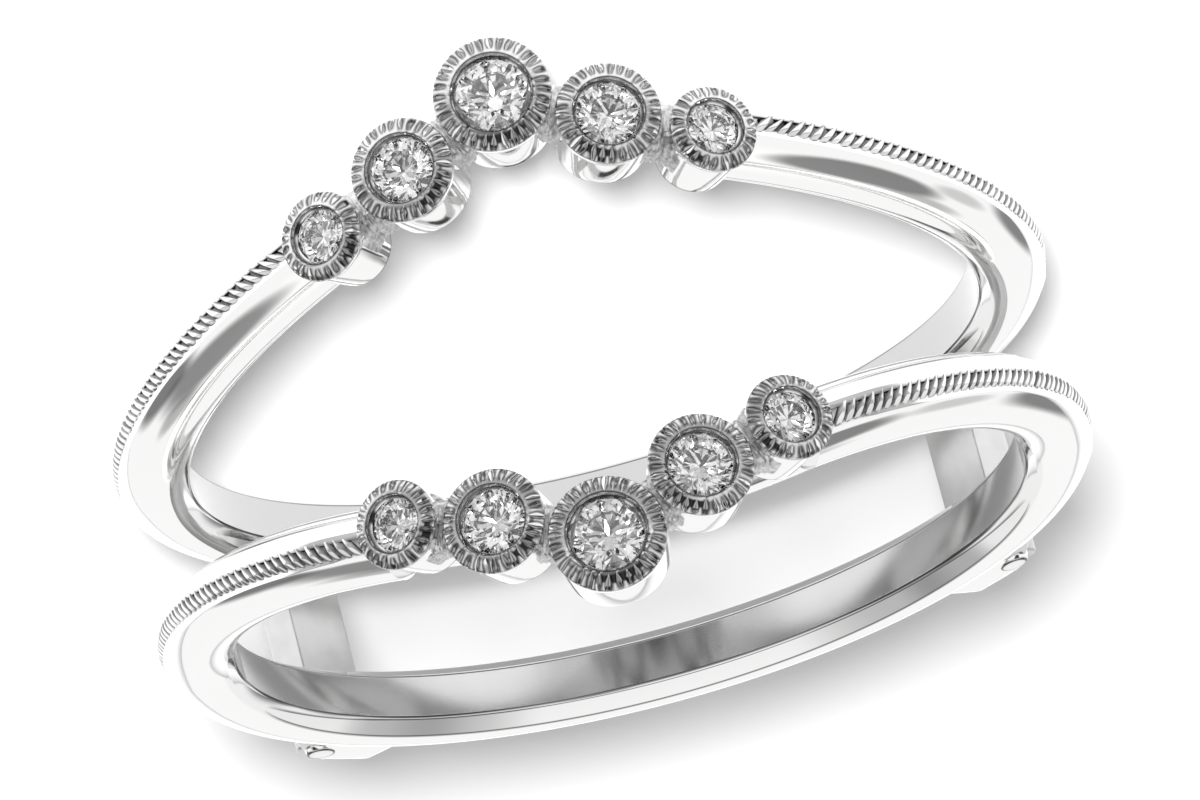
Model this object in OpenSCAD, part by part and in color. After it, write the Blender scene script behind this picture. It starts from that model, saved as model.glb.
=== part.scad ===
// Ring guard: two mirrored bands joined by two bars, each band topped by a bowed row of five
// stones in round bezels, with room between the bands for another ring.
// It is drawn as worn, with the finger along Y and the stones at +Z, and is then laid on its
// side, where it rests on the middle bezel of one band and on that band's shank. Millimetres.

/* [Finger] */
// Inside diameter of the ring, where the finger goes
finger_d = 17.3; // [15:0.1:21]

/* [Bands] */
// Distance from the middle of the ring to the middle of each band
band_y = 2.0; // [1.8:0.05:2.4]
// Height of a band, from the finger hole to its crest
band_h = 1.55; // [1.4:0.05:1.7]
// Width of a band at its widest
band_w = 1.6; // [1.4:0.05:1.8]
// Width of the narrow flat along the crest
crest_w = 0.36; // [0.2:0.02:0.5]
// Lean of each arm away from the middle as it climbs to the stones, in degrees
arm_lean = 15; // [13:1:17]
// Height of the flat facet polished along the shank's inner edges
facet_h = 0.45; // [0.3:0.05:0.6]

/* [Bezels] */
// Height of a bezel's wall above the finger hole
wall_h = 1.5; // [1.4:0.05:1.6]
// Rise of the sloped rim from the wall to the inner edge
rim_rise = 0.14; // [0.08:0.02:0.2]
// Share of the bezel's radius that lies inside the sloped rim
rim_share = 0.71; // [0.68:0.01:0.76]
// Radius of the struts that tie neighbouring bezels
strut_r = 0.42; // [0.3:0.02:0.5]

/* [Stones] */
// Radius of a stone at its girdle, as a share of the bezel's radius
stone_share = 0.655; // [0.6:0.01:0.67]
// Width of the table, as a share of the stone's width
table_share = 0.57; // [0.5:0.01:0.62]
// Gap left between a stone and its metal seat
seat_gap = 0.03; // [0.02:0.01:0.05]

/* [Bars] */
// Place of each bar, in degrees around the finger from the bottom of the ring
bar_angle = 44; // [40:1:50]
// Width of a bar, around the finger
bar_w = 1.45; // [1.2:0.05:1.7]
// Thickness of a bar, outward from the bands' crests
bar_t = 1.1; // [0.9:0.05:1.3]
// Distance from the middle of the ring to each end of a bar
bar_reach = 2.5; // [2.3:0.05:2.6]

/* [Hidden] */
$fn = 64;

// Bezels of one half row: [degrees from the top, outward place from the band's middle, radius]
BEZELS = [
    [0, 2.99, 1.225],
    [12.8, 1.99, 1.08],
    [24.9, 1.28, 0.89]];
ANGLE = 0;
PLACE = 1;
RADIUS = 2;

// Stones in the order of their nodes: [band, -1 for the upper and 1 for the lower; hand; bezel]
STONES = [
    [-1, 1, 0], [-1, -1, 1], [-1, 1, 1], [-1, -1, 2], [-1, 1, 2],
    [1, 1, 0], [1, -1, 1], [1, 1, 1], [1, -1, 2], [1, 1, 2]];

finger_r = finger_d / 2;
crest_r = finger_r + band_h;

// A band's section is bounded by two arcs that meet the crest flat, widest at widest_r
half_w = band_w / 2;
widest_r = finger_r + 0.45 * band_h;
dome = crest_r - widest_r;
arc_r = (dome * dome + pow(half_w - crest_w / 2, 2)) / (2 * (half_w - crest_w / 2));
arc_y = half_w - arc_r;
function half_width(r) = arc_y + sqrt(arc_r * arc_r - pow(r - widest_r, 2));

// The arm runs round a leaning circle, which keeps it on the finger's curve as it moves out
arm_r = widest_r * cos(arm_lean);
arm_sweep = 67;

// Above the finger the metal is slimmer by a hair all round, so that shank and arm meet in a
// plain step that no eye can see
hair = 0.012;

// The shank's facet is a cone, set a little low so that it fades out towards the sides
facet_drop = 0.08;
facet_in = half_width(finger_r);
facet_out = half_width(finger_r + facet_h);
facet_slope = facet_h / (facet_out - facet_in);

// Each bar's lug grows out of the shank in a hollow curve that is tangent to the crest
lug_r = crest_r + 0.9;
lug_half_w = 0.58;
lug_top = bar_angle + asin(bar_w / 2 / crest_r);
lug_shoulder = bar_angle - asin(bar_w / 2 / crest_r) - 0.5;
lug_foot = lug_shoulder - 8.5;
lug_turn = cos(lug_shoulder - lug_foot);
hollow_r = (crest_r * crest_r + lug_r * lug_r - 2 * crest_r * lug_r * lug_turn)
    / (2 * (lug_r * lug_turn - crest_r));

// Lying on its side: the middle bezel's inner corner and the shank's side share the floor
bezel_corner_y = band_y + BEZELS[0][PLACE] + BEZELS[0][RADIUS];
shank_side_r = widest_r + 0.19 * arc_r;
shank_side_y = band_y + arc_y + 0.982 * arc_r;
rest_tilt = atan((bezel_corner_y - shank_side_y) / (finger_r + shank_side_r));
rest_drop = bezel_corner_y * cos(rest_tilt) - finger_r * sin(rest_tilt);
rim_top_r = finger_r + wall_h + rim_rise;
rim_in_r = rim_share * BEZELS[0][RADIUS];
reach_front = (band_y + BEZELS[0][PLACE] + rim_in_r) * sin(rest_tilt) + rim_top_r * cos(rest_tilt);
reach_back = (band_y + crest_w / 2) * sin(rest_tilt) + crest_r * cos(rest_tilt);
rest_shift = (reach_front - reach_back) / 2;

module lie_down() {
    translate([0, rest_shift, rest_drop])
        rotate([0, 0, 180]) rotate([rest_tilt - 90, 0, 0]) children();
}

// Places children in a bezel's own frame: z runs out along the bezel, from the finger's axis
module at_bezel(band, hand, row) {
    translate([0, band * (band_y + BEZELS[row][PLACE]), 0])
        rotate([0, hand * BEZELS[row][ANGLE], 0]) children();
}

module every_bezel() {
    for (s = STONES) at_bezel(s[0], s[1], s[2]) {
        $bezel_r = BEZELS[s[2]][RADIUS];
        children();
    }
}

// Section of a band about its widest point, x outward and y across the band, made less all round
module band_section(less) {
    intersection() {
        translate([0, arc_y]) circle(r = arc_r - less);
        translate([0, -arc_y]) circle(r = arc_r - less);
        translate([finger_r - 0.15 - widest_r, -half_w])
            square([crest_r - finger_r + 0.15 - less, band_w]);
    }
}

module facet_cone() {
    low = facet_in - 0.2;
    high = facet_out + 0.4;
    base_r = finger_r - facet_drop;
    translate([0, facet_drop, low])
        cylinder(h = high - low, r1 = base_r - 0.2 * facet_slope,
            r2 = base_r + (high - facet_in) * facet_slope);
}

// The half of a band below the finger, from side to side
module shank() {
    rotate([-90, 0, 0]) difference() {
        rotate_extrude(angle = 180, $fn = 128) translate([widest_r, 0]) band_section(0);
        facet_cone();
        mirror([0, 0, 1]) facet_cone();
    }
}

// One side of a band above the finger, which leans out to meet the outermost bezel
module arm() {
    translate([widest_r - arm_r * cos(arm_lean), arm_r * sin(arm_lean), 0])
        rotate([0, 0, -arm_lean]) rotate([90, 0, 0])
        rotate_extrude(angle = arm_sweep, $fn = 128)
        translate([arm_r, 0]) rotate(-arm_lean) band_section(hair);
}

// Core that carries the metal of the shank on into an arm, hidden inside both
module side_core() {
    translate([widest_r, 0, -0.4]) cylinder(h = 0.8, r = 0.6 * half_w);
}

function from_bottom(a, r) = [r * sin(a), -r * cos(a)];

module lug() {
    rotate([90, 0, 0]) linear_extrude(height = 2 * lug_half_w, center = true) difference() {
        intersection() {
            circle(r = lug_r, $fn = 128);
            polygon([from_bottom(lug_foot, widest_r), from_bottom(lug_foot, 2 * lug_r),
                from_bottom(lug_top, 2 * lug_r), from_bottom(lug_top, widest_r)]);
        }
        translate(from_bottom(lug_foot, crest_r + hollow_r)) circle(r = hollow_r, $fn = 128);
    }
}

module band() {
    translate([0, band_y, 0]) {
        shank();
        for (hand = [0, 1]) mirror([hand, 0, 0]) {
            side_core();
            arm();
            lug();
        }
    }
}

module bar() {
    rotate([0, -bar_angle, 0])
        translate([-bar_w / 2, -bar_reach, -crest_r - bar_t]) cube([bar_w, 2 * bar_reach, bar_t]);
}

// Bezel without its stone's seat: a straight wall with a rim that slopes up to its inner edge
module bezel_body(r) {
    translate([0, 0, finger_r - 0.3]) cylinder(h = wall_h + 0.3, r = r);
    translate([0, 0, finger_r + wall_h]) cylinder(h = rim_rise, r1 = r, r2 = rim_share * r);
}

function bezel_point(row, r) = [r * sin(BEZELS[row][ANGLE]), band_y + BEZELS[row][PLACE],
    r * cos(BEZELS[row][ANGLE])];

// Strut that ties a bezel to the next one down the row
module strut(row) {
    from = bezel_point(row, finger_r + wall_h / 2);
    to = bezel_point(row + 1, finger_r + wall_h / 2);
    run = to - from;
    translate(from) rotate([0, acos(run[2] / norm(run)), atan2(run[1], run[0])])
        cylinder(h = norm(run), r = strut_r);
}

// Stone proportions, as shares of the girdle's radius
crown_h = 0.30;
girdle_h = 0.04;
pavilion_h = 0.86;

// Height of a stone's girdle above the finger hole: its table ends level with the rim
function girdle_level(stone_r) = wall_h + rim_rise - 0.04 - crown_h * stone_r;

// Seat of a stone, cut from the bezel: bevel, lip over the girdle, cone and open back
module seat(bezel_r) {
    r = stone_share * bezel_r;
    rim_r = rim_share * bezel_r;
    lip_r = r - 0.03;
    back_r = 0.45 * r;
    level = finger_r + girdle_level(r);
    cone_top = level - girdle_h * r - 0.4 * seat_gap;
    cone_end = cone_top - pavilion_h * (r + seat_gap - back_r);
    top = finger_r + wall_h + rim_rise;
    rotate_extrude() polygon([
        [0, finger_r - 1], [back_r, finger_r - 1], [back_r, cone_end],
        [r + seat_gap, cone_top], [r + seat_gap, level + seat_gap],
        [lip_r, level + seat_gap + 0.04], [rim_r, top], [rim_r + 0.05, top + 0.05], [0, top + 0.05]]);
}

// One corner ring of a stone: points at equal steps round it, all at one height
function corner_ring(n, start, r, z) =
    [for (i = [0 : n - 1]) [r * cos(start + i * 360 / n), r * sin(start + i * 360 / n), z]];

// Round brilliant: eight-sided table, star and kite facets above, mains and halves below.
// Each kite is flat because its side corners lie on the line from table to girdle.
module brilliant(r) {
    star_r = 0.80;
    star_x = star_r * cos(22.5);
    star_z = crown_h * (1 - star_x) / (1 - table_share);
    half_r = 0.22;
    half_z = -girdle_h - pavilion_h * (1 - half_r * cos(22.5));
    corners = concat(corner_ring(8, 0, table_share, crown_h),
        corner_ring(8, 22.5, star_r, star_z), corner_ring(16, 0, 1, 0),
        corner_ring(16, 0, 1, -girdle_h), corner_ring(8, 22.5, half_r, half_z),
        [[0, 0, -girdle_h - pavilion_h]]);
    hull() polyhedron(points = corners * r,
        faces = [for (i = [0 : len(corners) - 3]) [i, i + 1, i + 2]]);
}

// The finger's way through the ring, a hair wider above the finger's middle
module finger_hole() {
    rotate([90, 0, 0]) {
        rotate(90) cylinder(h = 20, r = finger_r, center = true, $fn = 128);
        linear_extrude(height = 20, center = true) intersection() {
            circle(r = finger_r + hair, $fn = 128);
            translate([-crest_r, 0]) square([2 * crest_r, crest_r]);
        }
    }
}

module ring_frame() {
    color("gainsboro") lie_down() difference() {
        union() {
            for (side = [0, 1]) mirror([0, side, 0]) {
                band();
                for (hand = [0, 1], row = [0, 1]) mirror([hand, 0, 0]) strut(row);
            }
            for (hand = [0, 1]) mirror([hand, 0, 0]) bar();
            every_bezel() bezel_body($bezel_r);
        }
        finger_hole();
        every_bezel() seat($bezel_r);
    }
}

module stone(number) {
    place = STONES[number];
    r = stone_share * BEZELS[place[2]][RADIUS];
    color("aliceblue") lie_down() at_bezel(place[0], place[1], place[2])
        translate([0, 0, finger_r + girdle_level(r)]) brilliant(r);
}

ring_frame();
for (number = [0 : len(STONES) - 1])
    stone(number);
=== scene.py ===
# %% [markdown]
# # A ring guard in polished white gold
#
# A ring guard is two slim bands that hold another ring between them. Each band carries a bowed
# row of five small stones, and two bars behind the bands keep them together. The solid model
# gives the sizes and the stones. This lesson dresses it: it sweeps the bands, cuts the notches
# in the bezels, lays the beading along the crests, and then polishes and lights the metal.
#
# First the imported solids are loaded. They are the frame that all the work has to fit.

import math
import random

import bpy
import numpy as np
from mathutils import Matrix, Vector


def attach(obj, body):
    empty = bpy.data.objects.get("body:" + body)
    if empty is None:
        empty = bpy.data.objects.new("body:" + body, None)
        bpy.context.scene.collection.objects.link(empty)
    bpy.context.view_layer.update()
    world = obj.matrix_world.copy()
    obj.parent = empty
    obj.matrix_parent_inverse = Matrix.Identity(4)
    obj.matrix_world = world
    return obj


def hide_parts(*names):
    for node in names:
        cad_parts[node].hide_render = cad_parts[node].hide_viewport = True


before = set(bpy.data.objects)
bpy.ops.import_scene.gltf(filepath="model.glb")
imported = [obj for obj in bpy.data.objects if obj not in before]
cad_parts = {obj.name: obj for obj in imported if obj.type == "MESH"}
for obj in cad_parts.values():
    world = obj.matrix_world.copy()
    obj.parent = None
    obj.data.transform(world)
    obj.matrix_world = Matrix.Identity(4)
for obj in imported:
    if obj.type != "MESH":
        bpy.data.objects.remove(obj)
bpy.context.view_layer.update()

# %% [markdown]
# Rings are easiest to think about as worn: the finger runs along Y and the stones look up along
# Z. So every piece is made in that frame, in millimetres, and one function at the end lays it
# on its side in metres, as the solids lie. The alternative, modelling straight in the leaning
# frame, would put the lean's sines and cosines into every formula.

# %% Sizes as worn, and how the ring lies
FINGER_R = 8.65  # the finger hole
BAND_Y = 2.0  # from the ring's middle to a band's middle, along the finger
CREST_R = 10.2  # a band's crest
WIDEST_R = 9.3475  # where a band is widest
HALF_W = 0.80  # half its width there
CREST_HALF_W = 0.18  # half the crest's width
# The solids lie on their side and lean by TILT. SHIFT and DROP place the middle of the ring.
TILT = math.radians(10.6948)
SHIFT, DROP = 0.38566, 4.50180
MM = 0.001


def lie_down(points):
    """Worn millimetres to metres in the frame of the solids."""
    x, y, z = np.asarray(points, float).T
    s, c = math.sin(TILT), math.cos(TILT)
    return MM * np.stack([-x, SHIFT - y * s - z * c, DROP - y * c + z * s], axis=1)


def turned(vector):
    """A direction as worn, turned into the frame of the solids."""
    both = lie_down([vector, (0, 0, 0)])
    return Vector((both[0] - both[1]) / MM)


print("middle of the ring at", lie_down([(0, 0, 0)])[0].round(5), "leaning", round(math.degrees(TILT), 2))

# %% [markdown]
# A piece is made of a grid of points: rows that follow each other, each with the same number of
# points. Blender can build such shapes from curves with a bevel object too, but a grid in code
# gives full control of where the edges fall, and polished metal shows every edge. The helper
# turns grids into one mesh, shades it smooth, and keeps chosen lines sharp.


def grid_faces(rows, columns, start, close_rows):
    """Quads between neighbouring points of a grid of closed rows, numbered row by row."""
    faces = []
    for i in range(rows if close_rows else rows - 1):
        for j in range(columns):
            k = (j + 1) % columns
            n = (i + 1) % rows
            faces.append([start + i * columns + j, start + n * columns + j,
                          start + n * columns + k, start + i * columns + k])
    return faces


class Shell:
    """Collects closed grids for one piece. Painted shade, from 0 to 1, says how dark the metal is painted at
    a point.
    """

    def __init__(self):
        self.points, self.work, self.faces, self.sharp, self.count = [], [], [], set(), 0

    def add(self, grid, close_rows=False, work=0.0, sharp_rows=(), sharp_columns=(), sharp_runs=()):
        """Adds a grid of rows x columns x 3 whose rows are closed loops. A sharp run is a column
        with its first and last row."""
        rows, columns, _ = grid.shape
        start = self.count
        self.points.append(grid.reshape(-1, 3))
        self.work.append(np.broadcast_to(work, (rows, columns)).reshape(-1))
        self.faces += grid_faces(rows, columns, start, close_rows)
        if not close_rows:
            end = start + (rows - 1) * columns
            self.faces.append([start + j for j in range(columns)])
            self.faces.append([end + j for j in reversed(range(columns))])
            sharp_rows = {*sharp_rows, 0, rows - 1}
        steps = rows if close_rows else rows - 1
        for j, first, last in [(j, 0, steps) for j in sharp_columns] + list(sharp_runs):
            for i in range(first, last):
                self.sharp.add((start + i * columns + j, start + (i + 1) % rows * columns + j))
        for i in sharp_rows:
            for j in range(columns):
                self.sharp.add((start + i * columns + j, start + i * columns + (j + 1) % columns))
        self.count += rows * columns
        return self

    def piece(self, name, material):
        """Makes the mesh and its object, which rides on the ring's only body."""
        mesh = bpy.data.meshes.new(name)
        mesh.from_pydata(lie_down(np.vstack(self.points)).tolist(), [], self.faces)
        mesh.update()
        sharp = {tuple(sorted(e)) for e in self.sharp}
        marks = [tuple(sorted(e.vertices)) in sharp for e in mesh.edges]
        mesh.attributes.new("sharp_edge", "BOOLEAN", "EDGE").data.foreach_set("value", marks)
        mesh.attributes.new("work", "FLOAT", "POINT").data.foreach_set("value", np.hstack(self.work))
        mesh.polygons.foreach_set("use_smooth", [True] * len(mesh.polygons))
        mesh.materials.append(material)
        made = bpy.data.objects.new(name, mesh)
        bpy.context.scene.collection.objects.link(made)
        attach(made, "root")
        print(f"{name}: {len(mesh.polygons)} faces")
        return made


# %% [markdown]
# A finish is a tree of shader nodes. It could be wired up node by node, but sums read best as
# sums, so a small class wraps a socket and overloads the operators. The bench makes every other
# node from its type, settings and sockets. Colours and vectors go through Mix and Vector Math
# nodes, since a Math node would turn them grey.

# %% Write shader maths as sums
class Wire:
    """An output socket that can be added, subtracted and multiplied."""

    def __init__(self, bench, socket):
        self.bench, self.socket = bench, socket

    def maths(self, operation, first, second):
        return self.bench.node("ShaderNodeMath", {"operation": operation}, {0: first, 1: second})

    def __add__(self, other):
        return self.maths("ADD", self, other)

    def __radd__(self, other):
        return self.maths("ADD", other, self)

    def __sub__(self, other):
        return self.maths("SUBTRACT", self, other)

    def __rsub__(self, other):
        return self.maths("SUBTRACT", other, self)

    def __mul__(self, other):
        return self.maths("MULTIPLY", self, other)

    def __rmul__(self, other):
        return self.maths("MULTIPLY", other, self)


class Bench:
    """Makes the nodes of one tree."""

    def __init__(self, tree):
        self.tree = tree
        tree.nodes.clear()

    def node(self, kind, settings=None, inputs=None, output=0):
        """Adds a node: first its settings, such as a ramp's stops, then what its sockets take."""
        made = self.tree.nodes.new(kind)
        for name, value in (settings or {}).items():
            if name == "stops":
                for spot, (place, colour) in enumerate(value):
                    while len(made.color_ramp.elements) <= spot:
                        made.color_ramp.elements.new(1.0)
                    made.color_ramp.elements[spot].position = place
                    made.color_ramp.elements[spot].color = (*colour, 1)
            else:
                setattr(made, name, value)
        for name, value in (inputs or {}).items():
            socket = made.inputs[name]
            if isinstance(value, Wire):
                self.tree.links.new(value.socket, socket)
            else:
                socket.default_value = value
        return Wire(self, made.outputs[output]) if made.outputs else None

    def blend(self, share, first, second):
        """Mixes two colours, which the Mix node takes in sockets 6 and 7 and gives in 2."""
        return self.node("ShaderNodeMix", {"data_type": "RGBA"}, {0: share, 6: first, 7: second}, 2)


def new_material(name):
    """A material, and the bench for its nodes."""
    material = bpy.data.materials.new(name)
    material.use_nodes = True
    return material, Bench(material.node_tree)


# %% [markdown]
# The metal is white gold with a bright plating, buffed to a mirror. A mirror has almost no look
# of its own, so the surface only needs what buffing leaves: a faint haze that varies, and a
# waviness far too low to measure that bends the edges of reflections. Cut places are a little
# duller. On top of that the metal is painted darker in the cuts, in the beading's gaps, along
# edge lines, below the stones and inside the shank, as painted shade and painted darker
# reflections. The bars and the solder are painted an even grey. The greys could be painted by
# hand, but each point of a piece carries how much shade is painted there, and that drives a ramp
# of greys and a little more haze. The bars were filed and the corners soldered, and both kept a
# stronger haze.

# %% Polished, filed and soldered white gold
TINT_STOPS = ((0.0, (0.93, 0.93, 0.925)), (0.3, (0.60, 0.60, 0.60)), (0.7, (0.20, 0.20, 0.20)),
              (1.0, (0.05, 0.05, 0.05)))
CUT_HAZE, CLOUD_GRAIN = 0.12, 900.0


def white_gold(name, haze, haze_range, wave_height, grain=420.0, stain=0.0):
    """Tint runs from bright where no shade is painted to dark where the most is painted, and the
    painted shade adds a little haze too. Stain lets the waves, which are grain to the metre,
    darken it here and there."""
    material, bench = new_material(name)
    place = bench.node("ShaderNodeTexCoord", output="Object")
    cloud = bench.node("ShaderNodeTexNoise", {}, {"Vector": place, "Scale": CLOUD_GRAIN, "Detail": 3.0})
    wave = bench.node("ShaderNodeTexNoise", {}, {"Vector": place, "Scale": grain, "Detail": 1.0})
    bump = bench.node("ShaderNodeBump", {}, {"Height": wave, "Strength": 1.0, "Distance": wave_height})
    work = bench.node("ShaderNodeAttribute", {"attribute_name": "work"}, output="Fac")
    tint = bench.node("ShaderNodeValToRGB", {"stops": TINT_STOPS},
                      {"Fac": work + stain * wave - 0.5 * stain})
    surface = bench.node("ShaderNodeBsdfPrincipled", {}, {
        "Base Color": tint, "Metallic": 1.0,
        "Roughness": haze + haze_range * cloud + CUT_HAZE * work, "Normal": bump})
    bench.node("ShaderNodeOutputMaterial", {}, {"Surface": surface})
    return material


POLISHED = white_gold("polished white gold", 0.03, 0.05, 1.5e-6)
FILED = white_gold("filed white gold", 0.20, 0.10, 4e-6, 2400.0, 0.1)
SOLDERED = white_gold("soldered white gold", 0.16, 0.20, 2.5e-5, 9000.0, 0.8)
print("finishes:", ", ".join(finish.name for finish in (POLISHED, FILED, SOLDERED)))

# %% [markdown]
# A white stone bends light so strongly that most of what enters comes back out of the top,
# broken by the facets. The facets are flat faces of the solid, so the material only needs the
# real refractive index, 2.42. A picture of sparkle laid on the stone would be quicker to render,
# but it wouldn't change with the view. A trace of noise in the base colour stands for the
# stone's slight clouding.

# %% Clear stone
STONE_INDEX, STONE_GRAIN = 2.42, 1500.0


def clear_stone():
    """Glass with a white stone's index, very slightly clouded."""
    material, bench = new_material("clear stone")
    place = bench.node("ShaderNodeTexCoord", output="Object")
    cloud = bench.node("ShaderNodeTexNoise", {}, {"Vector": place, "Scale": STONE_GRAIN})
    tint = bench.blend(cloud, (0.99, 0.99, 1.0, 1), (1.0, 1.0, 1.0, 1))
    surface = bench.node("ShaderNodeBsdfPrincipled", {}, {
        "Base Color": tint, "Roughness": 0.0, "IOR": STONE_INDEX, "Transmission Weight": 1.0})
    bench.node("ShaderNodeOutputMaterial", {}, {"Surface": surface})
    return material


STONE = clear_stone()
stones = [node for name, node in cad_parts.items() if name.endswith("stone")]
for node in stones:
    node.data.materials.clear()
    node.data.materials.append(STONE)
print(len(stones), "stones")

# %% [markdown]
# Each band is one sweep. Below the finger it runs round a flat circle; above, each arm runs
# round a circle that leans out by 15 degrees, so the arm stays on the finger's curve while it
# moves out to meet the bezels. The section is an eye shape cut off at the finger hole and at
# the narrow crest, with a flat facet beside the finger hole. Its edges are eased a little,
# because a buffed edge is never sharp. A bevel modifier could ease them too, but here the points
# have to stay countable, so that the facet's and the crest's lines can be kept sharp.

# %% Section of a band
DOME = CREST_R - WIDEST_R
ARC_R = (DOME ** 2 + (HALF_W - CREST_HALF_W) ** 2) / (2 * (HALF_W - CREST_HALF_W))
ARC_Y = HALF_W - ARC_R
FACET_H, FACET_DROP = 0.45, 0.08
EASE = 0.024
CHANNEL_D, CHANNEL_HALF_W = 0.085, 0.142
CREST_EASE = 0.05


def half_width(r):
    """Half the band's width at a radius, on the arc of its bulging side."""
    return ARC_Y + math.sqrt(ARC_R ** 2 - (r - WIDEST_R) ** 2)


FACET_IN, FACET_OUT = half_width(FINGER_R), half_width(FINGER_R + FACET_H)
FACET_MIDDLE = FINGER_R + 0.45 * FACET_H
SIDE_FROM = FINGER_R + 1.2 * EASE


def facet_ends(shift):
    """Heights where the facet's line, moved towards the finger by shift, meets the band's side.
    Where it no longer meets it, the two are nearly one."""
    slope = (FACET_OUT - FACET_IN) / FACET_H
    r = np.linspace(FINGER_R, FINGER_R + FACET_H, 300)
    side = np.array([half_width(v) for v in r])
    cut = r[side > FACET_IN + slope * (r + shift - FINGER_R) + 1e-9]
    low, high = (cut[0], cut[-1]) if len(cut) > 1 else (FACET_MIDDLE, FACET_MIDDLE)
    return max(low, SIDE_FROM + 0.012), max(high, low + 0.02, SIDE_FROM + 0.032)


def band_loop(shift, channel=0.0):
    """Closed section as (r, y) points: from the finger hole's middle, up one side, and back.
    Channel, from 0 to 1, sinks the crest to make room for beading."""
    low, high = facet_ends(shift)
    top = CREST_R - CREST_EASE
    flat = FACET_IN - EASE
    half = [(FINGER_R, y) for y in (0, 0.35 * flat, 0.7 * flat, flat - 0.05, flat - 0.006, flat)]
    half += [(FINGER_R + EASE * (1 - math.cos(a)), flat + 0.9 * EASE * math.sin(a))
             for a in (math.radians(35), math.radians(70))]
    half += [(r, half_width(r)) for r in (SIDE_FROM + (low - SIDE_FROM) * t for t in (0, 0.12, 0.5))]
    a, b = half_width(low), half_width(high)
    half += [(low + (high - low) * t, a + (b - a) * t) for t in (0, 0.06, 0.35, 0.65, 0.94, 1)]
    angles = np.linspace(math.asin((high - WIDEST_R) / ARC_R), math.asin((top - WIDEST_R) / ARC_R), 22)
    half += [(WIDEST_R + ARC_R * math.sin(a), ARC_Y + ARC_R * math.cos(a)) for a in angles[1:]]
    crest = CREST_HALF_W - 0.03
    edge = half_width(top) - crest
    rise = CREST_EASE * (1 - 0.9 * channel)
    half += [(top + rise * math.sin(a), crest + edge * math.cos(a))
             for a in np.radians([22.5, 45, 67.5, 90])]
    half += [(CREST_R - CHANNEL_D * channel, CHANNEL_HALF_W)]
    half += [(CREST_R - CHANNEL_D * channel, y) for y in (0.6 * CHANNEL_HALF_W, 0.0)]
    return np.array(half + [(r, -y) for r, y in reversed(half[1:-1])])


FACET_COLUMNS = (11, 16)
CHANNEL_COLUMNS = (41, 42)
# Painted shade by the section's point: the finger hole is 0 to 5, the facet 11 to 16, the channel
# 41 to 44. The inside of the finger hole is painted darker, as a painted darker reflection, and
# dark lines are painted along its eased edges, along the facet's lines and in the channel, as
# painted shade.
LOOP_SHADE = {0: 0.36, 4: 0.36, 5: 0.44, 6: 0.90, 7: 0.85, 8: 0.10, 10: 0.10, 11: 0.85, 12: 0.12,
             15: 0.10, 16: 0.85, 17: 0.0, 39: 0.0, 40: 0.1, 41: 0.6, 42: 0.6, 44: 0.3}
PLAIN_SHADE = 0.08
print("points in a band's section", len(band_loop(0.0)))
for shift in (0.0, FACET_DROP):
    print("facet moved by", shift, "runs from and to", [round(r, 3) for r in facet_ends(shift)])

# %% [markdown]
# The sweep needs, for every step along the band, the section's points in space. A curve object
# could carry the section, but it would twist it where the arm leaves the shank's plane. The
# arm's formula is the same as the shank's, tipped over by the lean, so the two meet without a
# kink. The facet on the shank's inner edges fades out towards the sides, as the buff left it.

# %% Sweep the two bands
LEAN = math.radians(15)
ARM_R = WIDEST_R * math.cos(LEAN)
ARM_SWEEP, SWEEP_STEP = 65, 0.75
BEADED_SHANK = 9.0


def facet_shift(turn):
    """How far the facet's line has moved towards the finger at an angle from the bottom."""
    return FACET_DROP * min(1, 1.35 * (1 - math.cos(turn)))


def shank_ring(turn, loop=None):
    """Section at an angle from the bottom, towards +X."""
    if loop is None:
        beaded = min(1, max(0, (abs(math.degrees(turn)) - 90 + BEADED_SHANK) / 1.5))
        loop = band_loop(facet_shift(turn), beaded)
    r, y = loop.T
    return np.stack([r * np.sin(turn), y, -r * np.cos(turn)], axis=1)


def arm_ring(rise, loop=None):
    """Section at an angle up from the side, on the +X arm."""
    r, y = (band_loop(FACET_DROP, 1.0) if loop is None else loop).T
    u, v = r - WIDEST_R, -y
    u, v = u * math.cos(LEAN) + v * math.sin(LEAN), -u * math.sin(LEAN) + v * math.cos(LEAN)
    across, up = (ARM_R + u) * np.cos(rise), (ARM_R + u) * np.sin(rise)
    x = across * math.cos(LEAN) - v * math.sin(LEAN) + WIDEST_R - ARM_R * math.cos(LEAN)
    y = -across * math.sin(LEAN) - v * math.cos(LEAN) + ARM_R * math.sin(LEAN)
    return np.stack([x, y, up], axis=1)


def mirrored(points, hand=1, band=1):
    """Mirrors points left to right with hand -1, and to the other band with band -1."""
    return points * np.array([hand, band, 1])


def facet_share(turn):
    """How open the facet is at an angle from the bottom, from 0 to 1."""
    low, high = facet_ends(facet_shift(turn))
    return min(1, max(0, (high - low - 0.03) / 0.15))


def band_grid(band):
    """Every section from the left arm's end, round the bottom, to the right arm's end, and how
    open the facet is at each."""
    rises = np.radians(np.arange(ARM_SWEEP, 0, -SWEEP_STEP))
    turns = np.radians(np.arange(-90, 90 + SWEEP_STEP / 2, SWEEP_STEP))
    left = [mirrored(arm_ring(a), -1) for a in rises]
    low = [shank_ring(a) for a in turns]
    right = [arm_ring(a) for a in rises[::-1]]
    grid = np.array(left + low + right)
    grid[:, :, 1] += BAND_Y
    grid = mirrored(grid, 1, band)
    closed = [0] * len(rises)
    opened = closed + [facet_share(a) for a in turns] + closed
    return grid if band > 0 else grid[:, ::-1], np.array(opened)[:, None]


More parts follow.
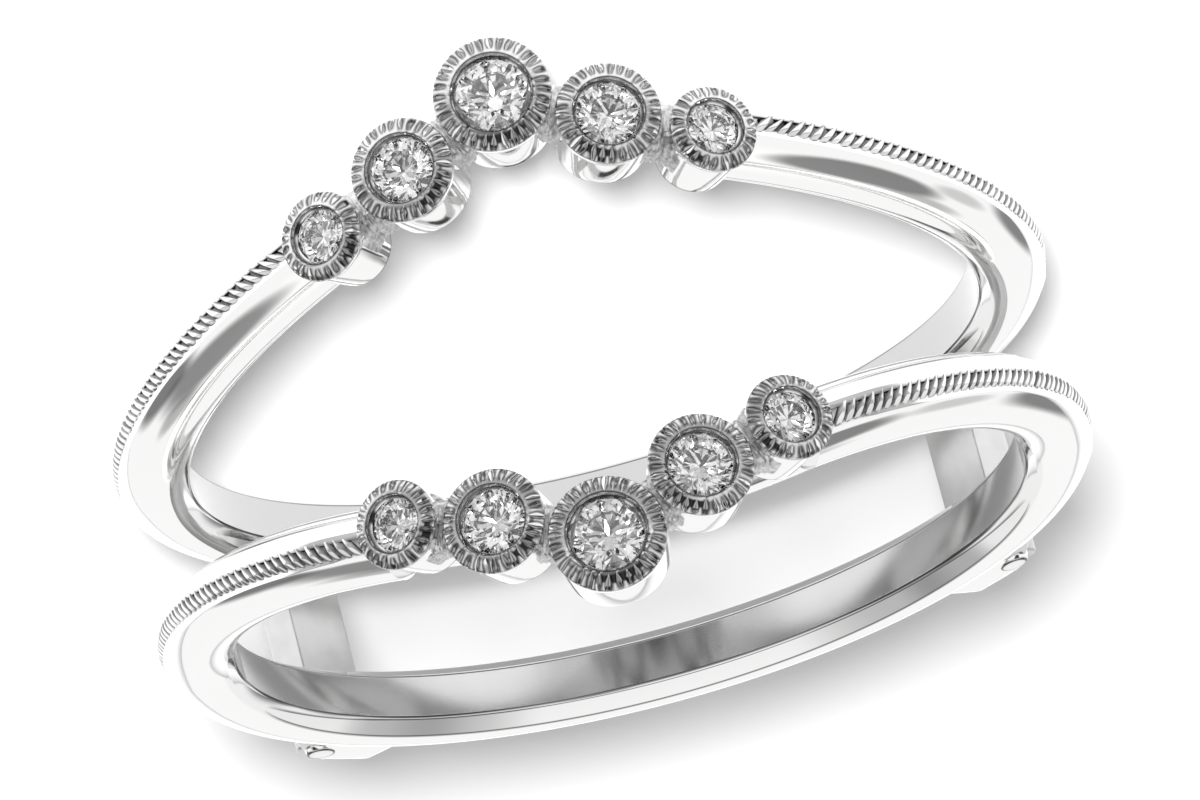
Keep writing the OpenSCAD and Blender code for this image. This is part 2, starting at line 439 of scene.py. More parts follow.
for name, band in (("upper_band", -1), ("lower_band", 1)):
    grid, opened = band_grid(band)
    columns = grid.shape[1]
    lines = [*FACET_COLUMNS, *CHANNEL_COLUMNS]
    lines += [columns - c for c in lines]
    column = np.minimum(np.arange(columns), columns - np.arange(columns))
    tones = np.interp(column, *zip(*LOOP_SHADE.items()))
    # Where the facet closes, its painted dark lines fade into the plain tone with it.
    plain = np.where((column > 8) & (column < 18), PLAIN_SHADE, tones)
    tones = plain + (tones - plain) * opened
    if band < 0:
        lines, tones = [columns - 1 - c for c in lines], tones[:, ::-1]
    Shell().add(grid, work=tones, sharp_columns=lines).piece(name, POLISHED)

# %% [markdown]
# Beading is rolled along the crest with a wheel that presses one grain after another. The grains
# slant across the crest, and between two of them the wheel leaves a gap: a fine line on one side
# that opens into a pit on the other. The gaps are painted dark, darker on the pit's side, and the
# grains a little darker towards the strip's edges, as painted shade. Separate balls would look
# like a chain, so the strip is one sweep of slanted rows with a waving height. Near the bezel the
# wheel skipped a little.

# %% Roll the beading
BEAD_TURN, BEAD_STEPS, BEADED_FROM = 1.5, 14, 61.5
BEAD_HALF_W, BEAD_ROOT, BEAD_SLANT = 0.225, 0.13, 0.75
BEAD_SWELL, BEAD_ROUND, GAP_D = 0.020, 0.066, 0.030
SKIPPED_BEADS = 7
# What differs from bead to bead, each between two ends. Pressed and missed say how deep a gap
# is and how dark it is painted, line and pit how wide it is on its two sides, lift and jump how
# high the bead stands, lean and twist how much it slants, and top is how dark its middle is
# painted.
BEAD_RANGES = {
    "pressed": (0.8, 1.0), "missed": (0, 1), "line": (0.14, 0.20), "pit": (0.18, 0.26),
    "lift": (-0.006, 0.006), "jump": (-1, 1), "lean": (-0.05, 0.05), "twist": (-1, 1),
    "top": (0.04, 0.22)}


def along_band(angles, loop):
    """Places each point of a loop at its own angle: up the arm, or below 0 round the shank."""
    arm, shank = arm_ring(angles, loop), shank_ring(math.pi / 2 + angles, loop)
    return np.where((angles > 0)[:, None], arm, shank)


def bead_strip(hand, band, rng):
    """One strip from the outermost bezel, down the arm and a little way round the shank."""
    across = np.linspace(-1, 1, 13)
    side = np.append(band * across, (0, 0))
    opening = np.clip((band * across + 0.35) / 1.2, 0, 1)
    beads = int((BEADED_FROM + BEADED_SHANK) / BEAD_TURN)
    under = np.array([(CREST_R - BEAD_ROOT, BEAD_HALF_W), (CREST_R - BEAD_ROOT, -BEAD_HALF_W)])
    rows, work = [], []
    for n in range(beads):
        skipped = max(0.0, 1 - n / SKIPPED_BEADS)
        bead = {name: rng.uniform(*ends) for name, ends in BEAD_RANGES.items()}
        pressed = bead["pressed"] * (1 - 0.3 * skipped * bead["missed"])
        lift = bead["lift"] + 0.012 * skipped * bead["jump"]
        slant = BEAD_SLANT + bead["lean"] + 0.2 * skipped * bead["twist"]
        for k in range(BEAD_STEPS):
            p = (k + 0.5) / BEAD_STEPS
            off = min(p, 1 - p)
            gap = (bead["line"] + bead["pit"] * opening) * (1.02 - 0.35 * across ** 4)
            cut = np.clip(1 - (off / gap) ** 2, 0, 1) ** 0.7
            dark = np.clip(1 - (off / (1.35 * gap)) ** 2, 0, 1) ** 0.5
            ridge = BEAD_SWELL * (1 - 4 * (p - 0.5) ** 2) - BEAD_ROUND * across ** 2
            height = CREST_R - 0.004 + lift + ridge - pressed * cut * GAP_D * (1 + opening)
            # The gap is painted dark as painted shade, more on the pit's side, and the grain a little darker
            # towards its edges.
            tone = bead["top"] + 0.10 * across ** 2 + pressed * dark * (0.75 + 0.25 * opening)
            work.append(np.append(np.clip(tone, 0, 1), (0, 0)))
            top = np.stack([height, across * BEAD_HALF_W], axis=1)
            angles = np.radians(BEADED_FROM - (n + p + slant * side) * BEAD_TURN)
            rows.append(along_band(angles, np.vstack([top, under])))
    grid = mirrored(np.array(rows) + np.array([0, BAND_Y, 0]), hand, band)
    order = 1 if hand * band > 0 else -1
    return grid[:, ::order], np.array(work)[:, ::order]


rng = random.Random(3)
for name, band in (("upper_beading", -1), ("lower_beading", 1)):
    shell = Shell()
    for hand in (-1, 1):
        grid, work = bead_strip(hand, band, rng)
        shell.add(grid, work=work)
    shell.piece(name, POLISHED)

# %% [markdown]
# A bezel is a short cup of metal turned round its stone. Its rim was cut all round with a small
# chisel, and each cut is a leaf: wide near the outer edge and pointed towards the stone. A bump
# texture could fake the cuts, but they notch the outline too, so they are real. Every cut takes
# eight columns of the rim's grid: seven follow its edges and its bottom, one runs beside it.

# %% Cut the rims
# Each bezel's angle from the top in degrees, its place along the finger beyond the band's
# middle, its radius, and how much its cut rim spreads past the wall, in millimetres.
BEZELS = {"centre": (0.0, 2.99, 1.225, 0.035), "inner": (12.8, 1.99, 1.08, 0.05),
          "outer": (24.9, 1.28, 0.89, 0.07)}
RIM_ROWS, CUTS_PER_MM = 12, 24.07
# Painted shade over a cut from one edge, over its bottom in the middle, to the other edge: dark
# edges and a dark bottom, with one side painted shaded and the other painted lit.
CUT_TONES = {-1.0: 0.92, -0.62: 0.50, -0.3: 0.42, 0.0: 0.90, 0.3: 0.10, 0.62: 0.0, 1.0: 0.80}
# The lit side's step takes each cut's own light tone, and the land between the cuts is painted a light grey,
# as a painted darker reflection.
LIT_STEP, LAND_SHADE = 0.62, 0.22
# What differs from cut to cut, each between two ends. Shift, skew and half are shares of the
# room that a cut has, outer and bottom of half its width, and widest and end are places along
# it. Deep is in millimetres, and lit is the light tone painted on the cut's lit side.
CUT_RANGES = {
    "shift": (-0.09, 0.09), "skew": (-0.35, 0.35), "deep": (0.06, 0.11), "widest": (0.25, 0.45),
    "half": (0.26, 0.40), "end": (0.78, 0.98), "outer": (0.25, 0.75), "bottom": (-0.35, 0.35),
    "lit": (0.0, 0.12)}


def rim_cuts(r, rng):
    """Angles, depths and painted shade of the rim's cuts on a grid of across x around, from the outer
    edge in. Columns of the grid follow each cut's edges and bottom, and one runs between two cuts."""
    count = round(CUTS_PER_MM * r) + 3
    across = np.linspace(0, 1, RIM_ROWS)
    pitch = 2 * math.pi / count
    angles, depths, work = [], [], []
    for n in range(count):
        leaf = {name: rng.uniform(*ends) for name, ends in CUT_RANGES.items()}
        hand = rng.choice((-1, 1))
        outer, widest = leaf["outer"], leaf["widest"]
        grow = np.clip(across / widest, 0, 1)
        fall = np.clip((across - widest) / (leaf["end"] - widest), 0, 1)
        shape = (outer + (1 - outer) * np.sin(grow * math.pi / 2)) * (1 - fall ** 1.6)
        width = leaf["half"] * np.maximum(shape, 0.10)
        middle = (n + leaf["shift"]) * pitch + leaf["skew"] * pitch * (across - 0.5)
        # One side of each cut, picked at random, is painted lit and the other painted shaded.
        tones = {**CUT_TONES, LIT_STEP: leaf["lit"]}
        for step in CUT_TONES:
            lean = step + leaf["bottom"] * (1 - step ** 2)
            angles.append(middle + lean * width * pitch)
            depths.append(leaf["deep"] * shape ** 1.2 * (1 - abs(step) ** 1.2))
            work.append(LAND_SHADE + (tones[hand * step] - LAND_SHADE) * np.clip(2.2 * shape, 0, 1))
        angles.append((n + 0.5) * pitch + 0 * across)
        depths.append(0 * across)
        work.append(LAND_SHADE + 0 * across)
    return np.array(angles).T, np.array(depths).T, np.array(work).T


for row, (_, _, r, _) in BEZELS.items():
    print(f"{row} bezel: {2 * r:.2f} mm across,", round(CUTS_PER_MM * r) + 3, "cuts")

# %% [markdown]
# The rest of a bezel is one turned profile: the wall, the sloped rim, the bevel down to the
# stone, the seat below it and the open back. A screw modifier could turn it, but the foot
# follows the finger hole, so the foot's height is worked out point by point. The seat is painted
# dark, as painted shade below the stone. The rim's outer edge and the bevel are painted grey, as
# painted darker reflections, and fine dark lines are painted at the foot and round the bevel, as
# painted shade.

# %% Turn the bezels
WALL_H, RIM_RISE, RIM_SHARE, STONE_SHARE, SEAT_GAP = 1.5, 0.14, 0.71, 0.655, 0.03
CROWN_H, GIRDLE_H, PAVILION_H = 0.30, 0.04, 0.86
RIM_EDGE, RIM_BULGE, FOOT_TAPER = 0.02, 0.035, 0.07
# Painted shade of the rim's outer edge, of the bevel, of the fine dark lines and of the seat.
EDGE_SHADE, BEVEL_SHADE, LINE_SHADE, SEAT_SHADE = 0.32, 0.30, 0.92, 0.80


def bezel_place(points, row, hand, band):
    """Moves points from a bezel's own frame, z outward from the finger's axis, to the ring."""
    angle, place = BEZELS[row][:2]
    a = math.radians(angle) * hand
    x, y, z = np.asarray(points, float).T
    return np.stack([x * math.cos(a) + z * math.sin(a), y + band * (BAND_Y + place),
                     -x * math.sin(a) + z * math.cos(a)], axis=1)


def bezel_grid(row, rng):
    """Profile rows of a bezel, each a loop round its axis, from the foot up and in to the seat,
    with their painted shade, the sharp rows and the sharp runs along the cuts' edges."""
    _, _, r, spread = BEZELS[row]
    stone_r = STONE_SHARE * r
    rim_r, lip_r, back_r = RIM_SHARE * r, stone_r - 0.03, 0.45 * stone_r
    edge_r = r + spread - RIM_EDGE
    wall_top = FINGER_R + WALL_H
    top = wall_top + RIM_RISE
    level = top - 0.04 - CROWN_H * stone_r
    cone_top = level - GIRDLE_H * stone_r - 0.4 * SEAT_GAP
    cone_end = cone_top - PAVILION_H * (stone_r + SEAT_GAP - back_r)
    cut_angles, depths, cut_work = rim_cuts(r, rng)
    columns = cut_angles.shape[1]
    even = np.linspace(0, 2 * math.pi, columns, endpoint=False) + cut_angles[0, 3]
    rows, work, sharp = [], [], []

    def loop(radius, height, a, dark=0.0):
        rows.append(np.stack([radius * np.cos(a), radius * np.sin(a), height + 0 * a], axis=1))
        work.append(dark + 0 * a)

    def foot(radius):
        return np.sqrt(FINGER_R ** 2 - (radius * np.cos(even)) ** 2)

    loop(r - FOOT_TAPER, foot(r), even, LINE_SHADE)
    loop(r - 0.9 * FOOT_TAPER, foot(r) + 0.05, even)
    sharp.append(0)
    for t in (0.2, 0.35, 0.5, 0.65, 0.8):
        loop(r - FOOT_TAPER * (1 - t) ** 2, FINGER_R + WALL_H * t, even)
    loop(r, wall_top - 0.10, even)
    edge = depths[0]
    for share, outward, down in ((0.25, RIM_EDGE, 0.055), (0.7, RIM_EDGE - 0.006, 0.022)):
        loop(edge_r + outward - 0.35 * share * edge, wall_top - down - 0.6 * share * edge,
             cut_angles[0], np.maximum(share * cut_work[0], EDGE_SHADE))
    first = len(rows)
    for k, t in enumerate(np.linspace(0, 1, RIM_ROWS)):
        radius = edge_r - t * (edge_r - rim_r) - 0.35 * (1 - t) ** 4 * depths[k]
        slope = wall_top + RIM_RISE * t + RIM_BULGE * math.sin(math.pi * t)
        loop(radius, slope - depths[k], cut_angles[k], cut_work[k])
    work[-1] = np.full(columns, LINE_SHADE)
    steps = len(CUT_TONES)
    cut_edges = [j for j in range(columns) if j % (steps + 1) in (0, steps - 1)]
    runs = [(j, first - 2, len(rows) - 2) for j in cut_edges]
    sharp.append(len(rows) - 1)
    bearing_r, bearing = stone_r + 0.03, level + 0.55 * (top - level)
    bevel = ((0.12, LINE_SHADE), (0.2, BEVEL_SHADE), (0.6, BEVEL_SHADE), (0.9, BEVEL_SHADE), (1.0, LINE_SHADE))
    for t, dark in bevel:
        loop(rim_r + t * (bearing_r - rim_r), top + t * (bearing - top), even, dark)
    sharp.append(len(rows) - 1)
    loop(lip_r, level + SEAT_GAP + 0.04, even, 0.05)
    loop(stone_r + SEAT_GAP, level + SEAT_GAP, even, SEAT_SHADE)
    loop(stone_r + SEAT_GAP, cone_top, even, SEAT_SHADE)
    loop(back_r, cone_end, even, SEAT_SHADE)
    sharp += [len(rows) - 4, len(rows) - 3, len(rows) - 2, len(rows) - 1]
    loop(back_r, foot(back_r), even)
    sharp.append(len(rows) - 1)
    return np.array(rows), np.array(work), sharp, runs


rng = random.Random(7)
for band_name, band in (("upper", -1), ("lower", 1)):
    shell = Shell()
    for row, hand in (("centre", 1), ("inner", -1), ("inner", 1), ("outer", -1), ("outer", 1)):
        grid, work, sharp, runs = bezel_grid(row, rng)
        placed = bezel_place(grid.reshape(-1, 3), row, hand, band).reshape(grid.shape)
        shell.add(placed, close_rows=True, work=work, sharp_rows=sharp, sharp_runs=runs)
    shell.piece(f"{band_name}_bezels", POLISHED)

# %% [markdown]
# Where two bezels meet, solder has run into the corner and was filed out with a rough file, so a
# grainy web with small ribs fills the notch. A displaced block would do, but its edges would have
# to be hidden in the bezels by hand. Each web is a loft from one bezel's middle to the next: it
# is narrow half way, and it is rippled across.

# %% Fill the corners between bezels
# The web is painted an even grey.
WEB_FOOT, WEB_TOP, WEB_GREY = 0.22, 1.30, 0.36
WEB_R = FINGER_R + WALL_H / 2
WEB_HALF_W, WEB_FLARE = 0.56, 0.9
ROUGH_HALF_L, ROUGH_SUNK = 0.45, 0.10
# Height in millimetres and radians to the millimetre of the two ripples in the web's sides and
# of the ribs on its top, whose grain is up to GRAIN_H high.
FINE_RIPPLE, COARSE_RIPPLE, RIBS = (0.010, 83), (0.018, 46), (0.03, 31)
GRAIN_H = 0.012


def web_grid(first, second, hand, band, rng, along=72, around=40):
    """Loops from one bezel to the next one down the row."""
    (angle_a, place_a, r_a, _), (angle_b, place_b, r_b, _) = BEZELS[first], BEZELS[second]
    span = math.radians(angle_b - angle_a) * WEB_R
    run = np.array([span, place_b - place_a])
    length = np.linalg.norm(run)
    side = np.array([-run[1], run[0]]) / length
    touch = (r_a + (length - r_a - r_b) / 2) / length
    phase = [rng.uniform(0, 2 * math.pi) for _ in range(3)]
    rows = []
    for t in np.linspace(0.25, 0.75, along):
        off = (t - touch) * length
        half = WEB_HALF_W + WEB_FLARE * off ** 2
        rough = max(0.0, 1 - (off / ROUGH_HALF_L) ** 2)
        coarse, fine, ribs = [high * math.sin(pace * off + start) for (high, pace), start
                              in zip((COARSE_RIPPLE, FINE_RIPPLE, RIBS), phase)]
        ripple = rough * (coarse + fine)
        crown = rough * (ribs + rng.uniform(-GRAIN_H, GRAIN_H))
        a = np.linspace(0, 2 * math.pi, around, endpoint=False)
        square = (np.abs(np.cos(a)) ** 4 + np.abs(np.sin(a)) ** 4) ** -0.25
        w = (half + ripple) * square * np.cos(a)
        middle = (WEB_FOOT + WEB_TOP) / 2
        tall = (WEB_TOP - WEB_FOOT) / 2 - ROUGH_SUNK * rough + crown
        h = FINGER_R + middle + tall * square * np.sin(a)
        across = t * run[0] + w * side[0]
        y = place_a + t * run[1] + w * side[1]
        turn = math.radians(angle_a) + across / WEB_R
        rows.append(np.stack([h * np.sin(turn), BAND_Y + y, h * np.cos(turn)], axis=1))
    grid = mirrored(np.array(rows), hand, band)
    return grid if hand * band > 0 else grid[:, ::-1]


rng = random.Random(11)
shell = Shell()
for band in (-1, 1):
    for hand in (-1, 1):
        for first, second in (("centre", "inner"), ("inner", "outer")):
            shell.add(web_grid(first, second, hand, band, rng), work=WEB_GREY)
shell.piece("bezel_webs", SOLDERED)

# %% [markdown]
# Two bars lie across the outside of the bands and tie them together. Each sits on two lugs that
# flare out of the shank. A lug is an upright slab on the band's crest: its outer edge climbs in a
# hollow curve up to the bar, and its top end is rounded over. Booleans could carve it from a
# block, but they leave ragged edges where curves meet. So one function lofts a slab from lists of
# reach, width and easing along the band, and the solder beside the bar uses it again.

# %% Lugs
BAR_W, BAR_ANGLE = 1.45, 44
LUG_R, LUG_HALF_W, LUG_EASE = CREST_R + 0.9, 0.58, 0.44
LUG_END_TURN, LUG_END_DROP, LUG_END_NARROW = 2.6, 0.30, 0.1
LUG_FLARE_TURN = 9.0
HALF_BAR = math.degrees(math.asin(BAR_W / 2 / CREST_R))
LUG_TOP, LUG_SHOULDER = BAR_ANGLE + HALF_BAR, BAR_ANGLE - HALF_BAR - 0.5
LUG_FOOT = LUG_SHOULDER - 8.5
LUG_TURN = math.cos(math.radians(LUG_SHOULDER - LUG_FOOT))
HOLLOW_R = ((CREST_R ** 2 + LUG_R ** 2 - 2 * CREST_R * LUG_R * LUG_TURN)
            / (2 * (LUG_R * LUG_TURN - CREST_R)))


def lug_reach(angle):
    """Outer radius of a lug at an angle from the bottom: a hollow curve, then the shoulder."""
    phi = math.radians(angle - LUG_FOOT)
    far = CREST_R + HOLLOW_R
    room = HOLLOW_R ** 2 - (far * math.sin(phi)) ** 2
    return min(LUG_R, far * math.cos(phi) - math.sqrt(max(room, 0)))


def slab_grid(hand, band, angles, reaches, halves, eases, corner=6):
    """Loops along an upright slab on a band's crest with a rounded outer edge."""
    rows = []
    for angle, reach, half, ease in zip(np.radians(angles), reaches, halves, eases):
        ease = min(ease, 0.9 * half, 0.9 * (reach - CREST_R + 0.5))
        loop = [(WIDEST_R, -half), (WIDEST_R, half)]
        quarter = [math.radians(90 * k / corner) for k in range(corner + 1)]
        for sign, turns in ((1, quarter), (-1, quarter[::-1])):
            loop += [(reach - ease + ease * math.sin(a), sign * (half - ease + ease * math.cos(a)))
                     for a in turns]
        r, y = np.array(loop).T
        rows.append(np.stack([r * math.sin(angle), y, -r * math.cos(angle)], axis=1))
    grid = mirrored(np.array(rows) + np.array([0, BAND_Y, 0]), hand, band)
    return grid[:, ::-1] if hand * band > 0 else grid


def lug_grid(hand, band, foot=0.8, steps=48):
    """A lug, whose top end is rounded over where the bar leaves it."""
    angles = np.linspace(LUG_FOOT + foot, LUG_TOP, steps)
    reach = np.array([lug_reach(angle) for angle in angles]) - 0.004
    end = np.clip((LUG_TOP - angles) / LUG_END_TURN, 0, 1)
    round_off = 1 - np.sqrt(1 - (1 - end) ** 2)
    eases = np.minimum(LUG_EASE, 0.9 * (reach - CREST_R + 0.1))
    flare = np.clip((angles - LUG_FOOT) / LUG_FLARE_TURN, 0, 1)
    halves = CREST_HALF_W + (LUG_HALF_W - CREST_HALF_W) * flare ** 2 * (3 - 2 * flare)
    reach = reach - LUG_END_DROP * round_off
    return slab_grid(hand, band, angles, reach, halves * (1 - LUG_END_NARROW * round_off), eases)


print("a lug runs from", round(LUG_FOOT, 1), "to", round(LUG_TOP, 1), "degrees from the bottom")

# %% [markdown]
# On the other side of the bar the solder ran out along the band and thins to nothing. The bar's
# end shows through the lug as a flat oval with a fine line round it, where it was filed flush.
# Both are slight, but they catch the light, so they are made rather than drawn.

# %% Solder tails and bar ends
# The solder tail is painted an even grey.
TAIL_FROM, TAIL_TURN, TAIL_R, TAIL_DROP = 45.5, 10.5, 10.86, 0.92
TAIL_HALF_W, TAIL_NARROW, TAIL_EASE, TAIL_GREY = 0.57, 0.20, 0.07, 0.28


def tail_grid(hand, band, steps=28):
    """Solder that runs from a bar's end along the band and thins to nothing."""
    t = np.linspace(0, 1, steps)
    angles, reaches = TAIL_FROM + TAIL_TURN * t, TAIL_R - TAIL_DROP * t ** 1.25
    return slab_grid(hand, band, angles, reaches, TAIL_HALF_W - TAIL_NARROW * t, TAIL_EASE + 0 * t)


NUB_R, NUB_ANGLE, NUB_REACH = 10.46, 47.6, 2.60
NUB_HALF = (0.33, 0.24)
# Share of the oval's size, how far out it stands from the end, and how dark it is painted: the
# fine line round the oval is painted dark.
NUB_STEPS = ((1.15, -0.30, 0), (1.12, -0.05, 0), (1.03, -0.006, 0.85), (0.95, 0, 0.85),
             (0.86, 0, 0.12), (0.5, 0.006, 0.05), (0.1, 0.01, 0.05))


def nub_grid(hand, band, around=48):
    """The flat oval end of a bar, standing a little out of the lug's outer side."""
    a = np.linspace(0, 2 * math.pi, around, endpoint=False)
    turn = math.radians(NUB_ANGLE)
    rows, work = [], []
    for share, stand, dark in NUB_STEPS:
        y = NUB_REACH + stand
        along, out = share * NUB_HALF[0] * np.cos(a), share * NUB_HALF[1] * np.sin(a)
        x = (NUB_R + out) * math.sin(turn) + along * math.cos(turn)
        z = -(NUB_R + out) * math.cos(turn) + along * math.sin(turn)
        rows.append(np.stack([x, y + 0 * a, z], axis=1))
        work.append(dark + 0 * a)
    grid = mirrored(np.array(rows), hand, band)
    order = 1 if hand * band > 0 else -1
    return grid[:, ::order], np.array(work)[:, ::order]


shell = Shell()
for band in (-1, 1):
    for hand in (-1, 1):
        shell.add(lug_grid(hand, band))
        shell.add(tail_grid(hand, band), work=TAIL_GREY)
        grid, work = nub_grid(hand, band)
        shell.add(grid, work=work)
shell.piece("bar_lugs", POLISHED)

# %% [markdown]
# The two bars were cut from flat stock, so they are boxes whose outer edges were rounded with a
# file. A bevel modifier eases all edges alike, and here the inner edges stay crisp, so the
# section is drawn with an arc at each corner. They are the last pieces of the metal, so they
# also take the place of the plain solid.

# %% Bars
# The bars are painted an even mid grey.
BAR_T, BAR_HALF_L, BAR_GREY = 1.1, 2.25, 0.33
INNER_EASE, OUTER_EASE = 0.05, 0.30


def bar_grid(corner=6):
    """A bar along y, its inner edges eased and its outer edges round, as loops along its length."""
    loop = []
    for side_x, side_z, start in ((1, 1, 0), (-1, 1, 90), (-1, -1, 180), (1, -1, 270)):
        ease = INNER_EASE if side_z > 0 else OUTER_EASE
        for k in range(corner + 1):
            a = math.radians(start + 90 * k / corner)
            loop.append((side_x * (BAR_W / 2 - ease) + ease * math.cos(a),
                         side_z * (BAR_T / 2 - ease) + ease * math.sin(a)))
    x, z = np.array(loop).T
    near, whole = 0.3 * INNER_EASE, INNER_EASE
    ends = [(BAR_HALF_L, whole), (BAR_HALF_L - near, near), (BAR_HALF_L - whole, 0)]
    rows = []
    for y, shrink in ends + [(0, 0)] + [(-y, shrink) for y, shrink in reversed(ends)]:
        rows.append(np.stack([x * (1 - 2 * shrink / BAR_W), y + 0 * x,
                              z * (1 - 2 * shrink / BAR_T)], axis=1))
    return np.array(rows)


def round_bottom(points, angle):
    """Turns points about the finger from straight below to an angle towards +X."""
    a = math.radians(angle)
    x, y, z = points.T
    return np.stack([x * math.cos(a) - z * math.sin(a), y, x * math.sin(a) + z * math.cos(a)], axis=1)


shell = Shell()
for hand in (-1, 1):
    grid = bar_grid()
    flat = grid.reshape(-1, 3) - np.array([0, 0, CREST_R + BAR_T / 2])
    shell.add(round_bottom(flat, BAR_ANGLE * hand).reshape(grid.shape), work=BAR_GREY)
bars = shell.piece("cross_bars", FILED)
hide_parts("ring_frame")

# %% [markdown]
# The picture is taken from above the stones with a long lens. As worn, the camera stands 72
# degrees up and 5.5 degrees round, half a metre away. Laid on its side, the same view comes
# from 29 degrees above the floor, with the camera turned over. A tracking constraint could aim
# the camera, but it can't roll it, so its three axes are worked out here. The picture is shown
# without a film's curve, and light may bounce often enough to leave a stone again.

# %% Camera
# The view that fits the photograph: its angles, its distance in millimetres, its scale, and how
# many pixels the ring's middle stands aside of the picture's middle.
AZIMUTH, ELEVATION, ROLL = math.radians(5.5289), math.radians(71.864), math.radians(-20.546)
DISTANCE, PIXELS_PER_MM, AIM_X, AIM_Y = 522.72, 47.0511, 2.609464, -53.591936
PICTURE_W, SENSOR_W = 1200, 36.0

flat_share = math.cos(ELEVATION)
back = np.array([math.sin(AZIMUTH) * flat_share, -math.cos(AZIMUTH) * flat_share, math.sin(ELEVATION)])
level = np.cross((0, 0, 1), back)
level /= np.linalg.norm(level)
upright = np.cross(back, level)
right = math.cos(ROLL) * level + math.sin(ROLL) * upright
above = -math.sin(ROLL) * level + math.cos(ROLL) * upright
stand = DISTANCE * back - (AIM_X * right + AIM_Y * above) / PIXELS_PER_MM

scene = bpy.context.scene
camera = bpy.data.objects.new("camera", bpy.data.cameras.new("camera"))
scene.collection.objects.link(camera)
axes = Matrix([turned(right), turned(above), turned(back)]).transposed()
camera.matrix_world = Matrix.Translation(Vector(lie_down([stand])[0])) @ axes.to_4x4()
camera.data.sensor_width = SENSOR_W
camera.data.lens = PIXELS_PER_MM * DISTANCE * SENSOR_W / PICTURE_W
camera.data.clip_start, camera.data.clip_end = 0.01, 20.0
bpy.context.scene.camera = camera
scene.view_settings.view_transform = "Standard"
scene.cycles.max_bounces, scene.cycles.glossy_bounces, scene.cycles.transmission_bounces = 24, 16, 24
print("camera at", [round(v, 4) for v in camera.location], "lens", round(camera.data.lens, 1))

# %% [markdown]
# The studio's floor is pale. In front of the picture, where the camera doesn't see it, shade is
# painted into the floor's colour: it gets darker there, because the inside of the shank mirrors
# that part. A dark card lying there would give the reflection a hard edge, so the painted shade
# changes softly.

# %% Floor
PALE_TO, DARK_FROM = -0.012, -0.024
PALE_FLOOR, FLOOR_PAINTED_SHADE = (0.605, 0.605, 0.605, 1), (0.20, 0.20, 0.20, 1)
FLOOR_HALF = 2

floor_mesh = bpy.data.meshes.new("floor")
corners = [(FLOOR_HALF * x, FLOOR_HALF * y, 0) for x, y in ((-1, -1), (1, -1), (1, 1), (-1, 1))]
floor_mesh.from_pydata(corners, [], [(0, 1, 2, 3)])
floor = bpy.data.objects.new("floor", floor_mesh)
scene.collection.objects.link(floor)
pale, bench = new_material("pale floor")
spot = bench.node("ShaderNodeTexCoord", output="Object")
depth = bench.node("ShaderNodeSeparateXYZ", {}, {"Vector": spot}, output="Y")
# The floor's colour is painted darker towards the front, as painted shade.
outside = bench.node("ShaderNodeMapRange", {"interpolation_type": "SMOOTHSTEP"}, {
    "Value": depth, "From Min": PALE_TO, "From Max": DARK_FROM})
shade = bench.blend(outside, PALE_FLOOR, FLOOR_PAINTED_SHADE)
surface = bench.node("ShaderNodeBsdfPrincipled", {}, {"Base Color": shade, "Roughness": 0.7})
bench.node("ShaderNodeOutputMaterial", {}, {"Surface": surface})
floor_mesh.materials.append(pale)
print("floor gets darker from y", PALE_TO, "to", DARK_FROM, "m")

# %% [markdown]
# Polished metal shows nothing but its surroundings, so the soft white sky isn't even: darker
# cards stand in it, and they draw the grey bands on the arms and the shank. Real cards could
# stand round the ring, but then they would shade the floor as well. One round lamp in front
# casts the shadow.

# %% Sky and lamp
world = bpy.data.worlds.new("studio")
scene.world = world
world.use_nodes = True
bench = Bench(world.node_tree)
heading = bench.node("ShaderNodeTexCoord", output="Generated")


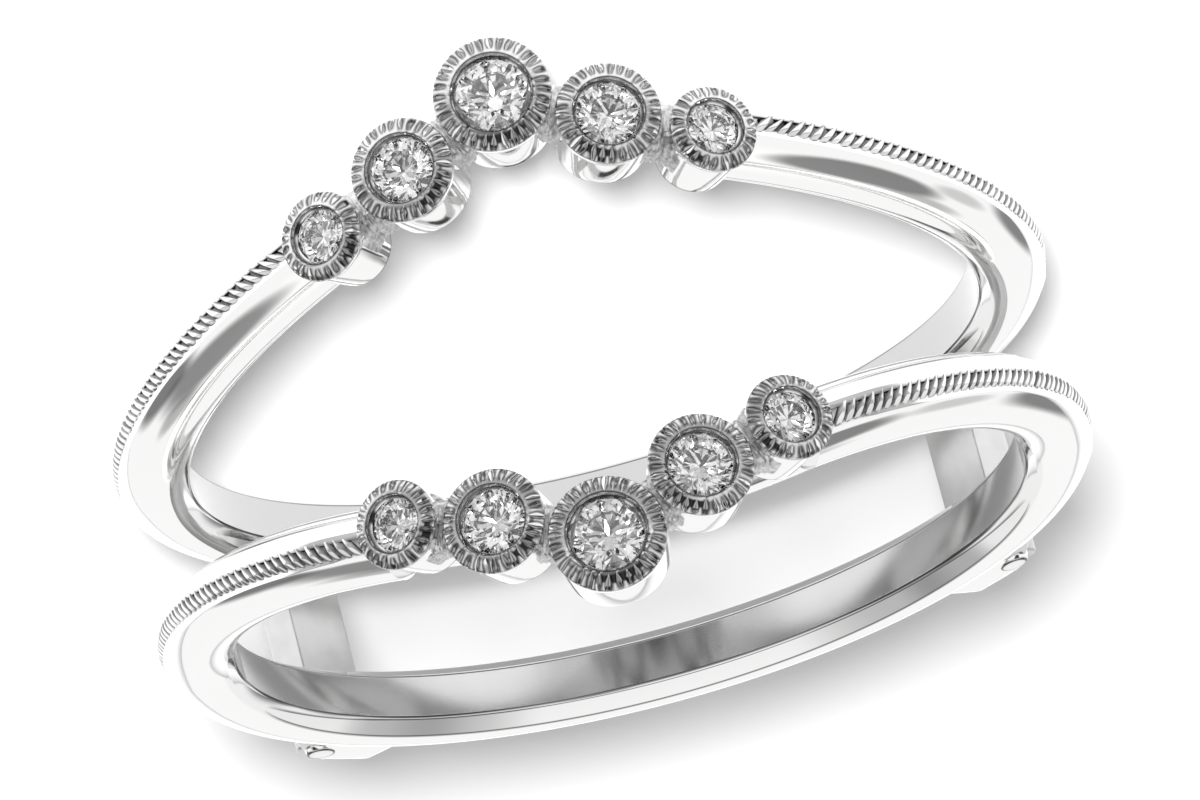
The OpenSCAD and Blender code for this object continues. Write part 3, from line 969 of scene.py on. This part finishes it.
def towards(azimuth, height):
    """Unit vector: azimuth 0 is the camera's side, 90 is +X, and height is in degrees."""
    a, h = math.radians(azimuth), math.radians(height)
    return (math.sin(a) * math.cos(h), -math.cos(a) * math.cos(h), math.sin(h))


def patch(azimuth, height, inner, outer):
    """1 within inner degrees of a direction, falling softly to 0 at outer degrees."""
    near = bench.node("ShaderNodeVectorMath", {"operation": "DOT_PRODUCT"},
                      {0: heading, 1: towards(azimuth, height)}, output="Value")
    return bench.node("ShaderNodeMapRange", {"interpolation_type": "SMOOTHSTEP"}, {
        "Value": near, "From Min": math.cos(math.radians(outer)), "From Max": math.cos(math.radians(inner))})


# Azimuth and height of each card's middle, its inner and outer radius, all in degrees, and how
# much darker than the sky it is.
SKY_CARDS = (
    (142, 37, 4, 11, 0.5), (-121, 21, 4, 12, 0.35), (-141, 0, 8, 17, 0.75), (108, 12, 10, 20, 0.78),
    (-108, 52, 16, 25, 0.75), (108, 46, 14, 28, 0.72), (-149, 44, 4, 12, 0.45),
    (0, -25, 30, 38, 0.75), (0, 29, 18, 26, 0.95), (-28, 48, 8, 14, 0.6), (32, 12, 6, 14, 0.6))
# Straight above, the sky is a tenth brighter.
bright = 1.0 + 0.1 * patch(0, 90, 10, 50)
for azimuth, height, inner, outer, depth in SKY_CARDS:
    bright = bright * (1 - depth * patch(azimuth, height, inner, outer))
sky = bench.node("ShaderNodeBackground", {}, {"Color": (1, 1, 1, 1), "Strength": bright})
bench.node("ShaderNodeOutputWorld", {}, {"Surface": sky})


def soft_light(name, place, target, size, watts):
    """A round lamp turned to a target. The metal doesn't mirror it: it is there for the floor."""
    data = bpy.data.lights.new(name, "AREA")
    data.shape, data.size, data.energy = "DISK", size, watts
    lamp = bpy.data.objects.new(name, data)
    scene.collection.objects.link(lamp)
    lamp.location = place
    lamp.rotation_mode = "QUATERNION"
    lamp.visible_glossy = False
    lamp.rotation_quaternion = (Vector(target) - Vector(place)).to_track_quat("-Z", "Y")
    return lamp


lamp = soft_light("front_light", (0.0, -0.45, 0.20), (0, 0.01, 0), 0.09, 10.2)
print(len(SKY_CARDS), "cards in the sky, and one lamp at", tuple(round(v, 2) for v in lamp.location))
